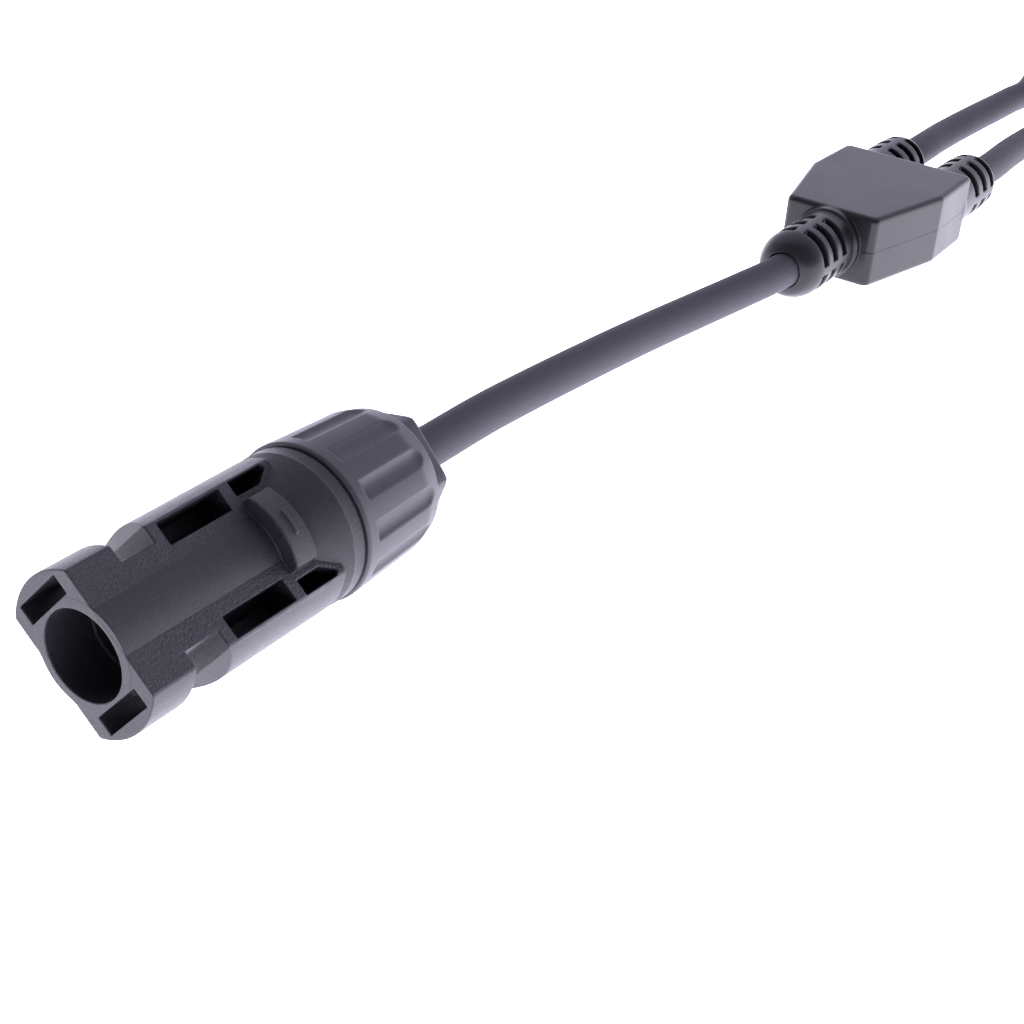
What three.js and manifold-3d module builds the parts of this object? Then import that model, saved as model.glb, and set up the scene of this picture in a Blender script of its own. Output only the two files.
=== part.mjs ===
// Y-branch lead for photovoltaic strings: one pin coupler, a moulded Y splitter and two socket couplers.
// Millimetres, +Z up. The origin lies on the ground under the middle of the pin coupler.
// +X points along its cable.
import * as THREE from 'three';
import { mergeVertices } from 'three/addons/utils/BufferGeometryUtils.js';
import Module from 'manifold-3d';

const wasm = await Module();
wasm.setup();

// ---- driving dimensions ----
const gap = 0.3;                    // clearance between pieces that touch on the real lead
const roundSides = 24;

const cable = { radius: 2.75, bore: 1.75, conductor: 1.3, sides: 8, coreSides: 6 };

const nut = {
  length: 17.6, rimRadius: 10, rearRadius: 9.45, shoulderRadius: 8.75, boreRadius: 8.25,
  seatRadius: 6.6, seatEnd: 14.4,
  hexRadius: 8.6, hexStart: 15, turn: -8, cableHole: 3.4,
  grooves: 12, grooveWidth: 2.6, grooveFloor: 9.33, grooveStart: 1.9, grooveEnd: 12.8,
  bevelStart: 12.4,
};

// Gland parts, measured from the front rim of the nut.
const gland = {
  threadRadius: 7.8, neckEnd: 10.7, boreRadius: 5.2, boreStart: -1.8,
  sealStart: -1.5, sealEnd: 5.9, sealRib: 0.4, ringRadius: 4.85, innerRadius: 3.08,
  colletStart: 6.2, colletEnd: 13.7, colletTaper: 1.6, colletTip: 3.75,
  collarRadius: 9.6, collarStart: -2.1, collarEnd: -0.4, coneStart: -7.2,
  coneRadius: 7.4, coneEndRadius: 9.75, rearChamber: 3.6,
};

const pinCoupler = {
  rim: 34.8,                        // distance from the mating face to the nut
  bodyRadius: 9.65, flat: 5.9, bodyEnd: 30, tubeRadius: 6.6,
  mouth: 5.2, mouthDepth: 6.5, socketRadius: 5, socketDepth: 20, contactHole: 2.6, contactHoleEnd: 22.3,
  slot: { inner: 5.85, outer: 8.1, half: 3.9, depth: 10 },
  notch: { start: 6.35, end: 11.2, inner: 5.65, lip: 7.8, lipEnd: 12.8 },
  longWindow: { start: 12.9, end: 22.5, inner: 4.6, outer: 7.35, depth: 3 },
  shortWindow: { start: 24.2, end: 28.8, nose: 29.9, inner: 5.6, outer: 7.5, depth: 3 },
  arch: { start: 24.1, end: 27.6, radius: 8.65, half: 4.7 },
  roll: 45.7,                       // it lies on its round side, turned about its own axis
};

const pin = { tip: 6.5, radius: 2, bodyStart: 20.3, bodyRadius: 2.3, flangeRadius: 3.3 };
const crimp = {
  flangeStart: -9.3, barrelStart: -8.3, barrelRadius: 2.4, holeStart: -5.8, holeRadius: 1.65, end: 1.2,
};
const clip = { inner: 2.62, outer: 3.28, start: -12.2, end: -9.6, slit: 1.2 };

const socketCoupler = {
  rim: 20, noseRadius: 4.75, noseLength: 19.5, noseBore: 3.05, bodyRadius: 9.5, flat: 6.4, bodyEnd: 14,
  channel: { inner: 5.7, half: 4.2, end: 9.4 },
  arm: { inner: 6.3, outer: 7.8, pad: 8.8, half: 3.5, tip: -10.9, root: 8.8, padStart: 4.5, padFoot: 2.5 },
  barb: { outer: 9.2, start: -10.3, top: -8.4, end: -6.7 },
  ringAt: -4, ringMajor: 4.78, ringMinor: 0.42, grooveFloor: 4.05, grooveHalf: 0.8,
  socketRadius: 2.75, socketBore: 2.1, socketTip: -18.6, socketDepth: -5, slit: 0.5,
};

const moulding = {
  front: new THREE.Vector3(138.1, -4.7, 7.3), yaw: 0.5, roll: 5,
  length: 31.8, shoulder: 18.3, frontHalf: 8, wideHalf: 12.1, rearHalf: 11.8, half: 5.95, corner: 1.2,
  spread: 6.7, cableHole: 3.06,
  pocket: { start: 9, end: 25.5, half: 9.3, height: 2.3 },
  trunkRelief: {
    radius: 5.5, slotRadius: 4.1, length: 14, capEnd: 16.5, capRadius: 3.7, slots: [4.7, 8.1, 11.5],
  },
  branchRelief: {
    radius: 5.05, slotRadius: 3.8, length: 14.3, capEnd: 15.5, capRadius: 3.8, slots: [5.2, 8.9, 12.5],
  },
  slotWidth: 1.6,
};
const splice = { start: 10.4, end: 18.4, halfWidth: 3.9, halfHeight: 1.95, hole: 1.62, side: 1.95 };

// Places of the two socket couplers: their mating shoulder, with the nose pointing along +X.
const socketPlaces = {
  a: new THREE.Vector3(350.1, 13, 10),
  b: new THREE.Vector3(350.1, -16, 10),
};

// Cable centrelines, from the crimp of one end to the crimp of the other.
const trunkRoute = [
  [10.2, 0, 10], [23.5, 0, 10], [35.5, 0, 10], [45.5, -0.05, 9.95], [57.5, -0.4, 9.6],
  [68.5, -0.8, 9.15], [78.5, -1.15, 8.65], [89.2, -1.7, 8.1], [100.1, -2.6, 7.65], [111.2, -3.8, 7.38],
  [120.6, -4.85, 7.3], [133.5, -4.74, 7.3], [146.1, -4.63, 7.3],
];
const branchRoutes = {
  a: [
    [164.1, 2.2, 7.88], [174.5, 2.29, 7.88], [184, 2.37, 7.88], [195.5, 3, 7.5], [206.5, 4.1, 6.75],
    [217.9, 4.85, 5.95], [229.5, 5.5, 5.1], [241.1, 6.1, 4.2], [251.3, 6.4, 3.6], [261.5, 6.4, 3.2],
    [273.5, 8.2, 4.7], [285.5, 11.1, 8.1], [296.5, 12.85, 9.85], [305.5, 13, 10], [315.5, 13, 10],
    [328.5, 13, 10],
  ],
  b: [
    [164.3, -11.14, 6.72], [174.5, -11.05, 6.72], [184.2, -10.97, 6.72], [196.5, -10.4, 6],
    [209.5, -8.8, 4.9], [221.5, -7.6, 3.8], [235.5, -7.4, 3.1], [249.5, -8.9, 3.1], [261.5, -11.1, 3.6],
    [273.5, -13.5, 5.4], [285.5, -15.4, 8.4], [296.5, -15.97, 9.88], [305.5, -16, 10], [315.5, -16, 10],
    [328.5, -16, 10],
  ],
};

// ---- colours and finishes ----
const housingBlack = { color: 0x45434b, roughness: 0.62, metalness: 0 };
const nutBlack = { color: 0x5b5962, roughness: 0.5, metalness: 0 };
const jacketBlack = { color: 0x56545d, roughness: 0.7, metalness: 0 };
const mouldingBlack = { color: 0x55535c, roughness: 0.6, metalness: 0 };
const rubber = { color: 0x2b2a2d, roughness: 0.85, metalness: 0 };
const cageWhite = { color: 0xbfbdb6, roughness: 0.5, metalness: 0 };
const tinned = { color: 0xc9c7c2, roughness: 0.28, metalness: 1 };
const springSteel = { color: 0xa9aaad, roughness: 0.3, metalness: 1 };
const strands = { color: 0xb08a62, roughness: 0.4, metalness: 1 };

// ---- making and joining closed shapes ----
function closed(geometry) {
  geometry.deleteAttribute('normal');
  geometry.deleteAttribute('uv');
  const merged = mergeVertices(geometry, 1e-4);
  if (volume(merged) < 0) {
    const index = merged.getIndex();
    for (let i = 0; i < index.count; i += 3) {
      const first = index.getX(i);
      index.setX(i, index.getX(i + 1));
      index.setX(i + 1, first);
    }
  }
  return merged;
}

function volume(geometry) {
  const index = geometry.getIndex();
  const position = geometry.getAttribute('position');
  const corner = [new THREE.Vector3(), new THREE.Vector3(), new THREE.Vector3()];
  let sum = 0;
  for (let i = 0; i < index.count; i += 3) {
    corner.forEach((point, k) => point.fromBufferAttribute(position, index.getX(i + k)));
    sum += corner[0].dot(corner[1].clone().cross(corner[2]));
  }
  return sum;
}

function solid(geometry) {
  const shape = closed(geometry);
  const vertProperties = new Float32Array(shape.getAttribute('position').array);
  const triVerts = new Uint32Array(shape.getIndex().array);
  return new wasm.Manifold(new wasm.Mesh({ numProp: 3, vertProperties, triVerts }));
}

function geometryOf(manifold) {
  const mesh = manifold.getMesh();
  const geometry = new THREE.BufferGeometry();
  geometry.setAttribute('position', new THREE.BufferAttribute(new Float32Array(mesh.vertProperties), 3));
  geometry.setIndex(new THREE.BufferAttribute(new Uint32Array(mesh.triVerts), 1));
  geometry.computeVertexNormals();
  return geometry;
}

const joined = (shapes) => shapes.reduce((whole, shape) => whole.add(shape));
const cut = (body, tools) => tools.reduce((rest, tool) => rest.subtract(tool), body);

// A body of revolution about the X axis from [x, radius] points.
function revolve(points, sides = roundSides) {
  const profile = points.map(([x, radius]) => new THREE.Vector2(radius, x));
  const onAxis = points[0][1] === 0 && points[points.length - 1][1] === 0;
  if (!onAxis) {
    profile.push(profile[0].clone());
  }
  return new THREE.LatheGeometry(profile, sides).rotateZ(-Math.PI / 2);
}

// A straight bar along X whose section is a shape drawn in Y and Z.
function bar(section, start, end, curveSegments = 5) {
  const options = { depth: end - start, bevelEnabled: false, curveSegments };
  const geometry = new THREE.ExtrudeGeometry(section, options);
  const axes = new THREE.Matrix4().makeBasis(
    new THREE.Vector3(0, 1, 0), new THREE.Vector3(0, 0, 1), new THREE.Vector3(1, 0, 0));
  return geometry.applyMatrix4(axes).translate(start, 0, 0);
}

// A plate along Z whose outline is drawn in X and Y.
function plate(outline, low, high) {
  const options = { depth: high - low, bevelEnabled: false, curveSegments: 4 };
  return new THREE.ExtrudeGeometry(outline, options).translate(0, 0, low);
}

function block(x0, x1, y0, y1, z0, z1) {
  const box = new THREE.BoxGeometry(x1 - x0, y1 - y0, z1 - z0);
  return box.translate((x0 + x1) / 2, (y0 + y1) / 2, (z0 + z1) / 2);
}

function polygon(points) {
  return new THREE.Shape(points.map(([x, y]) => new THREE.Vector2(x, y)));
}

// A circle cut by two level flats.
function flattedCircle(radius, flat) {
  const corner = Math.asin(flat / radius);
  const shape = new THREE.Shape();
  shape.absarc(0, 0, radius, -corner, corner, false);
  shape.absarc(0, 0, radius, Math.PI - corner, Math.PI + corner, false);
  shape.closePath();
  return shape;
}

const curveThrough = (route) => new THREE.CatmullRomCurve3(route.map((point) => new THREE.Vector3(...point)));

function circle(radius, sides) {
  const points = [];
  for (let i = 0; i < sides; i += 1) {
    const angle = (2 * Math.PI * (i + 0.5)) / sides;
    points.push(new THREE.Vector2(radius * Math.cos(angle), radius * Math.sin(angle)));
  }
  return points;
}

function sweep(route, outer, inner, sides, step) {
  const path = curveThrough(route);
  const section = new THREE.Shape(circle(outer, sides));
  if (inner) {
    section.holes.push(new THREE.Path(circle(inner, cable.coreSides)));
  }
  const steps = Math.round(path.getLength() / step);
  return new THREE.ExtrudeGeometry(section, { steps, bevelEnabled: false, extrudePath: path });
}

function part(name, shape, finish) {
  const geometry = shape.isBufferGeometry ? closed(shape) : geometryOf(shape);
  const mesh = new THREE.Mesh(geometry, new THREE.MeshStandardMaterial(finish));
  mesh.name = name;
  return mesh;
}

// ---- gland end, shared by the three couplers ----
// The rear of a housing: cone, collar and the neck that carries the thread, drawn at the thread's crest.
function housingRear(rim) {
  return solid(revolve([
    [rim + gland.coneStart, 0],
    [rim + gland.coneStart, gland.coneRadius],
    [rim + gland.collarStart, gland.coneEndRadius],
    [rim + gland.collarStart, gland.collarRadius],
    [rim + gland.collarEnd, gland.collarRadius],
    [rim + gland.collarEnd, gland.threadRadius],
    [rim + gland.neckEnd, gland.threadRadius],
    [rim + gland.neckEnd, 0],
  ]));
}

// The hollow behind the contact: crimp chamber, then the wider bore for seal and collet.
function rearHollow(rim, chamberStart) {
  return solid(revolve([
    [chamberStart, 0],
    [chamberStart, gland.rearChamber],
    [rim + gland.boreStart, gland.rearChamber],
    [rim + gland.boreStart, gland.boreRadius],
    [rim + gland.neckEnd + 1, gland.boreRadius],
    [rim + gland.neckEnd + 1, 0],
  ]));
}

function glandSeal(rim) {
  const points = [[rim + gland.sealStart, gland.innerRadius]];
  const ribs = 2;
  const ribPitch = (gland.sealEnd - gland.sealStart) / ribs;
  for (let i = 0; i < ribs; i += 1) {
    const start = rim + gland.sealStart + i * ribPitch;
    points.push([start, gland.ringRadius - gland.sealRib], [start + ribPitch * 0.3, gland.ringRadius]);
    points.push([start + ribPitch * 0.7, gland.ringRadius]);
    points.push([start + ribPitch * 0.98, gland.ringRadius - gland.sealRib]);
  }
  points.push([rim + gland.sealEnd, gland.innerRadius]);
  return revolve(points, 16);
}

function collet(rim) {
  const start = rim + gland.colletStart;
  const end = rim + gland.colletEnd;
  const ring = solid(revolve([
    [start, gland.innerRadius],
    [start, gland.ringRadius],
    [end - gland.colletTaper, gland.ringRadius],
    [end, gland.colletTip],
    [end, gland.innerRadius],
  ], 18));
  const slits = [0, 60, 120].map((angle) => solid(
    block(start + 2.4, end + 1, -6, 6, -0.4, 0.4).rotateX(THREE.MathUtils.degToRad(angle))));
  return cut(ring, slits);
}

function glandNut(rim) {
  const outside = solid(revolve([
    [0, 0],
    [0, nut.rimRadius - 0.2],
    [0.3, nut.rimRadius],
    [nut.bevelStart, nut.rearRadius],
    [nut.hexStart, nut.shoulderRadius],
    [nut.hexStart + 0.3, nut.hexRadius - 0.4],
    [nut.hexStart + 0.3, 0],
  ], 36));
  const corners = [0, 1, 2, 3, 4, 5].map((i) => {
    const angle = THREE.MathUtils.degToRad(60 * i - nut.turn);
    return [nut.hexRadius * Math.cos(angle), nut.hexRadius * Math.sin(angle)];
  });
  const hexagon = solid(bar(polygon(corners), nut.hexStart - 2, nut.length));
  const inside = solid(revolve([
    [-1, 0],
    [-1, nut.boreRadius],
    [gland.neckEnd + 0.7, nut.boreRadius],
    [gland.neckEnd + 0.7, nut.seatRadius],
    [nut.seatEnd, nut.cableHole],
    [nut.length + 1, nut.cableHole],
    [nut.length + 1, 0],
  ]));
  const grooves = [];
  for (let i = 0; i < nut.grooves; i += 1) {
    const angle = THREE.MathUtils.degToRad(-nut.turn - (360 / nut.grooves) * i);
    const groove = block(nut.grooveStart, nut.grooveEnd, -nut.grooveWidth / 2, nut.grooveWidth / 2, 0, 3);
    const slope = Math.atan((nut.rimRadius - nut.rearRadius) / nut.grooveEnd);
    grooves.push(solid(groove.rotateY(slope).translate(0, 0, nut.grooveFloor).rotateX(angle)));
  }
  return cut(outside.add(hexagon), [inside, ...grooves]).translate([rim, 0, 0]);
}

function contactClip(rim) {
  const ring = solid(revolve([
    [rim + clip.start, clip.inner],
    [rim + clip.start, clip.outer - 0.25],
    [rim + clip.end, clip.outer],
    [rim + clip.end, clip.inner],
  ], 16));
  const slit = block(rim + clip.start - 1, rim + clip.end + 1, 0, 5, -clip.slit / 2, clip.slit / 2);
  return cut(ring, [solid(slit)]);
}

// Flange and crimp barrel of a contact, as [x, radius] points that follow its front body.
function crimpProfile(rim) {
  return [
    [rim + crimp.flangeStart, pin.bodyRadius],
    [rim + crimp.flangeStart, pin.flangeRadius],
    [rim + crimp.barrelStart, pin.flangeRadius],
    [rim + crimp.barrelStart, crimp.barrelRadius],
    [rim + crimp.end, crimp.barrelRadius],
    [rim + crimp.end, crimp.holeRadius],
    [rim + crimp.holeStart, crimp.holeRadius],
    [rim + crimp.holeStart, 0],
  ];
}

// ---- pin coupler ----
function pinHousing() {
  const c = pinCoupler;
  const arch = new THREE.Shape();
  const lean = Math.asin(c.arch.half / c.arch.radius);
  arch.moveTo(c.arch.half, 5);
  arch.absarc(0, 0, c.arch.radius, Math.PI / 2 - lean, Math.PI / 2 + lean, false);
  arch.lineTo(-c.arch.half, 5);
  const frontArch = solid(bar(arch, c.arch.start, c.arch.end));
  const body = joined([
    solid(bar(flattedCircle(c.bodyRadius, c.flat), 0, c.bodyEnd)),
    solid(revolve([[0, 0], [0, c.tubeRadius], [c.bodyEnd, c.tubeRadius], [c.bodyEnd, 0]])),
    frontArch,
    solid(bar(arch, c.arch.start, c.arch.end).rotateX(Math.PI)),
    housingRear(c.rim),
  ]);
  const bore = solid(revolve([
    [-1, 0],
    [-1, c.mouth + 0.4],
    [0, c.mouth + 0.4],
    [0.4, c.mouth],
    [c.mouthDepth, c.mouth],
    [c.mouthDepth, c.socketRadius],
    [c.socketDepth, c.socketRadius],
    [c.socketDepth, c.contactHole],
    [c.contactHoleEnd + 1, c.contactHole],
    [c.contactHoleEnd + 1, 0],
  ]));
  const tools = [bore, rearHollow(c.rim, c.contactHoleEnd)];
  for (const side of [1, -1]) {
    const half = side > 0 ? 0 : Math.PI;
    const { slot, notch, longWindow: long, shortWindow: short } = c;
    tools.push(solid(block(-1, slot.depth, slot.inner, slot.outer, -slot.half, slot.half).rotateX(half)));
    const notchOutline = polygon([
      [notch.start, notch.inner],
      [notch.end, notch.inner],
      [notch.end, notch.lip],
      [notch.lipEnd, c.bodyRadius],
      [notch.lipEnd, 12],
      [notch.start, 12],
    ]);
    tools.push(solid(plate(notchOutline, -8, 8).rotateX(half)));
    for (const face of [1, -1]) {
      const z0 = face > 0 ? long.depth : -9;
      const z1 = face > 0 ? 9 : -long.depth;
      tools.push(solid(block(long.start, long.end, long.inner, long.outer, z0, z1).rotateX(half)));
      const outline = polygon([
        [short.start, short.inner],
        [short.end, short.inner],
        [short.nose, short.inner + 1.2],
        [short.end + 0.6, short.outer],
        [short.start, short.outer],
      ]);
      tools.push(solid(plate(outline, z0, z1).rotateX(half)));
    }
  }
  return cut(body, tools);
}

function pinContact() {
  return revolve([
    [pin.tip, 0],
    [pin.tip, 0.9],
    [pin.tip + 0.9, pin.radius * 0.86],
    [pin.tip + 1.9, pin.radius],
    [pin.bodyStart, pin.radius],
    [pin.bodyStart, pin.bodyRadius],
    ...crimpProfile(pinCoupler.rim),
  ], 14);
}

function addGland(group, owner, rim) {
  group.add(part(`${owner}_contact_clip`, contactClip(rim), springSteel));
  group.add(part(`${owner}_gland_seal`, glandSeal(rim), rubber));
  group.add(part(`${owner}_clamping_collet`, collet(rim), cageWhite));
  group.add(part(`${owner}_gland_nut`, glandNut(rim), nutBlack));
}

function makePinCoupler() {
  const group = new THREE.Group();
  group.add(part('pin_housing', pinHousing(), housingBlack));
  group.add(part('pin_contact', pinContact(), tinned));
  addGland(group, 'pin', pinCoupler.rim);
  group.position.set(-(pinCoupler.rim + nut.length) / 2, 0, nut.rimRadius);
  group.rotation.x = THREE.MathUtils.degToRad(pinCoupler.roll);
  return group;
}

// ---- socket couplers ----
function socketHousing() {
  const c = socketCoupler;
  const body = joined([
    solid(bar(flattedCircle(c.bodyRadius, c.flat), 0, c.bodyEnd)),
    solid(revolve([
      [-c.noseLength, 0],
      [-c.noseLength, c.noseRadius - 0.6],
      [-c.noseLength + 0.8, c.noseRadius],
      [c.ringAt - c.grooveHalf, c.noseRadius],
      [c.ringAt - c.grooveHalf, c.grooveFloor],
      [c.ringAt + c.grooveHalf, c.grooveFloor],
      [c.ringAt + c.grooveHalf, c.noseRadius],
      [1, c.noseRadius],
      [1, 0],
    ])),
    housingRear(c.rim),
  ]);
  const bore = solid(revolve([
    [-c.noseLength - 1, 0],
    [-c.noseLength - 1, c.noseBore],
    [c.rim + clip.start, c.noseBore],
    [c.rim + clip.start, 0],
  ]));
  const tools = [bore, rearHollow(c.rim, c.rim + clip.start - gap)];
  for (const side of [0, Math.PI]) {
    const channel = block(-1, c.channel.end, c.channel.inner, 12, -c.channel.half, c.channel.half);
    tools.push(solid(channel.rotateX(side)));
  }
  return cut(body, tools);
}

function latchArm(side) {
  const { arm, barb } = socketCoupler;
  const outline = polygon([
    [arm.root, side * arm.inner],
    [arm.root, side * arm.pad],
    [arm.padStart, side * arm.pad],
    [arm.padFoot, side * arm.outer],
    [barb.end, side * arm.outer],
    [barb.end, side * barb.outer],
    [barb.top, side * barb.outer],
    [barb.start, side * arm.outer],
    [arm.tip + 0.5, side * arm.outer],
    [arm.tip, side * (arm.outer - 0.6)],
    [arm.tip, side * arm.inner],
  ]);
  return plate(outline, -arm.half, arm.half);
}

function socketContact() {
  const c = socketCoupler;
  const turned = solid(revolve([
    [c.socketDepth, 0],
    [c.socketDepth, c.socketBore],
    [c.socketTip, c.socketBore],
    [c.socketTip, c.socketRadius - 0.2],
    [c.socketTip + 0.4, c.socketRadius],
    [c.socketDepth + 2, c.socketRadius],
    [c.socketDepth + 2, pin.bodyRadius],
    ...crimpProfile(c.rim),
  ], 16));
  const slits = [0, Math.PI / 2].map((angle) => solid(
    block(c.socketTip - 1, c.socketDepth - 3, -4, 4, -c.slit / 2, c.slit / 2).rotateX(angle)));
  return cut(turned, slits);
}

function makeSocketCoupler(letter) {
  const c = socketCoupler;
  const owner = `socket_${letter}`;
  const group = new THREE.Group();
  group.add(part(`${owner}_housing`, socketHousing(), housingBlack));
  group.add(part(`${owner}_latch_arm_left`, latchArm(-1), housingBlack));
  group.add(part(`${owner}_latch_arm_right`, latchArm(1), housingBlack));
  const ring = new THREE.TorusGeometry(c.ringMajor, c.ringMinor, 6, 20).rotateY(Math.PI / 2);
  group.add(part(`${owner}_nose_o_ring`, ring.translate(c.ringAt, 0, 0), rubber));
  group.add(part(`${owner}_contact`, socketContact(), tinned));
  addGland(group, owner, c.rim);
  group.position.copy(socketPlaces[letter]);
  group.rotation.z = Math.PI;
  return group;
}

// ---- Y moulding and splice, x counted from the front face of the moulding along its own axis ----
function slabOutline() {
  const m = moulding;
  const side = [
    [0, m.frontHalf - m.corner],
    [m.corner * 0.4, m.frontHalf],
    [m.shoulder - 0.5, m.wideHalf],
    [m.length - m.corner, m.rearHalf],
    [m.length, m.rearHalf - m.corner],
  ];
  const otherSide = side.map(([x, y]) => [x, -y]).reverse();
  return polygon([...side, ...otherSide]);
}

function relief(size, facing) {
  const points = [[-1.5, 0], [-1.5, size.radius]];
  for (const at of size.slots) {
    points.push([at - moulding.slotWidth / 2, size.radius], [at - moulding.slotWidth / 2, size.slotRadius]);
    points.push([at + moulding.slotWidth / 2, size.slotRadius], [at + moulding.slotWidth / 2, size.radius]);
  }
  points.push([size.length, size.radius], [size.capEnd, size.capRadius], [size.capEnd, 0]);
  const ribbed = solid(revolve(points, 16));
  return facing > 0 ? ribbed : ribbed.rotate([0, 0, 180]);
}

function yMoulding() {
  const m = moulding;
  const hole = (start, end) => solid(
    revolve([[start, 0], [start, m.cableHole], [end, m.cableHole], [end, 0]], 14));
  const bodies = [solid(plate(slabOutline(), -m.half, m.half)), relief(m.trunkRelief, -1)];
  const tools = [
    hole(-m.trunkRelief.capEnd - 1, m.pocket.start + 1),
    solid(block(
      m.pocket.start, m.pocket.end, -m.pocket.half, m.pocket.half, -m.pocket.height, m.pocket.height)),
  ];
  for (const side of [1, -1]) {
    bodies.push(relief(m.branchRelief, 1).translate([m.length, side * m.spread, 0]));
    tools.push(hole(m.pocket.end - 1, m.length + m.branchRelief.capEnd + 1).translate([0, side * m.spread, 0]));
  }
  return cut(joined(bodies), tools);
}

function spliceSleeve() {
  const s = splice;
  const section = new THREE.Shape();
  const flat = s.halfWidth - s.halfHeight;
  section.absarc(flat, 0, s.halfHeight, -Math.PI / 2, Math.PI / 2, false);
  section.absarc(-flat, 0, s.halfHeight, Math.PI / 2, 1.5 * Math.PI, false);
  section.closePath();
  const hole = (start, end, y) => solid(
    revolve([[start, 0], [start, s.hole], [end, s.hole], [end, 0]], 12)).translate([0, y, 0]);
  const middle = (s.start + s.end) / 2;
  return cut(solid(bar(section, s.start, s.end, 4)), [
    hole(s.start - 1, middle - 0.5, 0),
    hole(middle + 0.5, s.end + 1, s.side),
    hole(middle + 0.5, s.end + 1, -s.side),
  ]);
}

const mouldingTurn = new THREE.Euler(
  THREE.MathUtils.degToRad(moulding.roll), 0, THREE.MathUtils.degToRad(moulding.yaw), 'ZYX');

// A point of the moulding's own frame in the frame of the whole lead.
function onMoulding(x, y) {
  return new THREE.Vector3(x, y, 0).applyEuler(mouldingTurn).add(moulding.front).toArray();
}

function makeMoulding() {
  const group = new THREE.Group();
  group.add(part('y_moulding', yMoulding(), mouldingBlack));
  group.add(part('splice_sleeve', spliceSleeve(), tinned));
  group.position.copy(moulding.front);
  group.rotation.copy(mouldingTurn);
  return group;
}

// ---- cables ----
function makeTrunk() {
  const group = new THREE.Group();
  const stepLength = 10;
  const jacket = sweep(trunkRoute, cable.radius, cable.bore, cable.sides, stepLength);
  group.add(part('trunk_cable_jacket', jacket, jacketBlack));
  const crimpEnd = [3.1, 0, 10];
  const core = [crimpEnd, ...trunkRoute.slice(1, -1), onMoulding(splice.start + 3, 0)];
  group.add(part('trunk_conductor', sweep(core, cable.conductor, 0, cable.coreSides, stepLength), strands));
  return group;
}

function makeBranch(letter) {
  const side = letter === 'a' ? 1 : -1;
  const route = branchRoutes[letter];
  const group = new THREE.Group();
  const jacket = sweep(route, cable.radius, cable.bore, cable.sides, 10);
  group.add(part(`branch_${letter}_cable_jacket`, jacket, jacketBlack));
  const place = socketPlaces[letter];
  const core = [
    onMoulding(splice.end - 3, side * splice.side),
    onMoulding(splice.end - 1.2, side * splice.side),
    onMoulding(splice.end + 0.6, side * splice.side),
    onMoulding(21.9, side * 4.3),
    onMoulding(25.2, side * moulding.spread),
    ...route.slice(1, -1),
    [place.x - socketCoupler.rim - crimp.holeStart - 0.5, place.y, place.z],
  ];
  group.add(part(`branch_${letter}_conductor`, sweep(core, cable.conductor, 0, cable.coreSides, 3.6), strands));
  return group;
}

// ---- the whole lead ----
const group = new THREE.Group();
group.add(makePinCoupler());
group.add(makeTrunk());
group.add(makeMoulding());
for (const letter of ['a', 'b']) {
  group.add(makeBranch(letter));
  group.add(makeSocketCoupler(letter));
}

export default group;
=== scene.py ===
"""Photovoltaic Y branch lead: the looks of its couplers, moulding and cables, around the frame."""

import math
from types import SimpleNamespace

import bpy
import numpy as np
from bpy.props import FloatProperty, FloatVectorProperty, PointerProperty
from mathutils import Matrix, Vector


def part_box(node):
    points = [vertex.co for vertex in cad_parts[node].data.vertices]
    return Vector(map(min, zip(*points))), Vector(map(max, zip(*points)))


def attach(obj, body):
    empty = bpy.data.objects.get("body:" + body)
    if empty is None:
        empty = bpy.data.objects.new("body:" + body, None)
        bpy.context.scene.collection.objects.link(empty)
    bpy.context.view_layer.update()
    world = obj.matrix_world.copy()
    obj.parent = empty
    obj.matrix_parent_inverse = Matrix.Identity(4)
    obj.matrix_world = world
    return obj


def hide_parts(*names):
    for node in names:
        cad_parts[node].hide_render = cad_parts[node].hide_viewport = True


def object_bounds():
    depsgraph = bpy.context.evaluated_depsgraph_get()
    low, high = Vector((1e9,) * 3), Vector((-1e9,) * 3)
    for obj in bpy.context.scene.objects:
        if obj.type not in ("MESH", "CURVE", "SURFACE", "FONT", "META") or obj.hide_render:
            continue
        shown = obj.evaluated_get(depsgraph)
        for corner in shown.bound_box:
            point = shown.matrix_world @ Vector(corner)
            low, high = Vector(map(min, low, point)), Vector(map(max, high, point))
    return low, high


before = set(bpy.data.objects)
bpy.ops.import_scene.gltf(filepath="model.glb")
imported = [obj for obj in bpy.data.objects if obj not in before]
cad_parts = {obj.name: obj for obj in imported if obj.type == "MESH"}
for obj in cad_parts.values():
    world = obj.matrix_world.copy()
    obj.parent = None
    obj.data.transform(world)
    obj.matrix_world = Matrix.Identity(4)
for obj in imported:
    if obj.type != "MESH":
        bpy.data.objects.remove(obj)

bl_info = {
    "name": "Solar Y Branch Lead",
    "version": (1, 0, 0),
    "blender": (4, 5, 0),
    "location": "3D View > Sidebar > Solar Lead",
    "description": "Builds the couplers, the Y moulding and the cables of a photovoltaic branch lead",
    "category": "Add Mesh",
}

MM = 0.001                     # shapes are drawn in millimetres and made in metres
CAD_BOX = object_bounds()

# ---- places, worked out from the frame ----
NUT_LENGTH = 17.6
PIN_RIM = 34.8                 # from the pin coupler's mating face to the rim of its nut
SOCKET_RIM = 20.0              # from a socket coupler's mating shoulder to the rim of its nut
PIN_ROLL = math.radians(45.7)  # the pin coupler lies on its round side
SOCKET_LETTERS = ("a", "b")


def middle_of(node):
    low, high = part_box(node)
    return (low + high) / 2


def pin_place():
    """Matrix from the pin coupler's own millimetres, x counted from its mating face, to the frame."""
    low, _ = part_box("pin_gland_nut")
    middle = middle_of("pin_gland_nut")
    start = Vector((low.x - PIN_RIM * MM, middle.y, middle.z))
    return Matrix.Translation(start) @ Matrix.Rotation(PIN_ROLL, 4, "X")


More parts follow.
